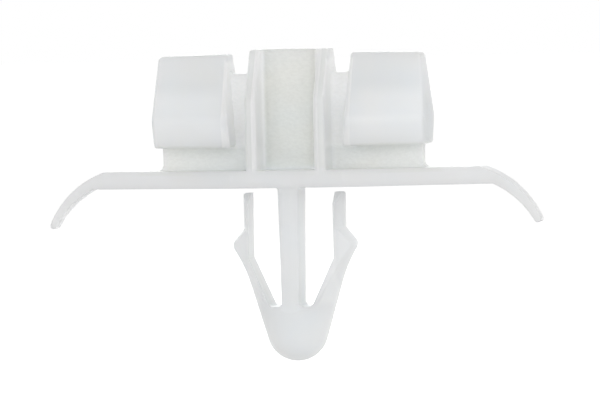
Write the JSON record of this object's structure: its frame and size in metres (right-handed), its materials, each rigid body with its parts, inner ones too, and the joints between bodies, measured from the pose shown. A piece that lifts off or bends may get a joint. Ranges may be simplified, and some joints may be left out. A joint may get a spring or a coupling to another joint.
{
  "type": "windshield clip",
  "caption": "Moulded nylon clip with a slotted push-in anchor below a sprung plate, and a barbed head above it that grips the edges of a windshield moulding.",
  "frame": {"origin": "the anchor's axis at the underside of the plate, where the clip seats on the body panel", "axes": "+Z away from the panel, through the head; X along the plate; -Y the side seen in the picture"},
  "size_m": [0.041, 0.0076, 0.0257],
  "materials": {
    "nylon": "natural off-white nylon, satin as moulded, with a fine spark-eroded grain in its recesses"
  },
  "bodies": {
    "root": {"windshield_clip": "nylon"}
  },
  "joints": []
}
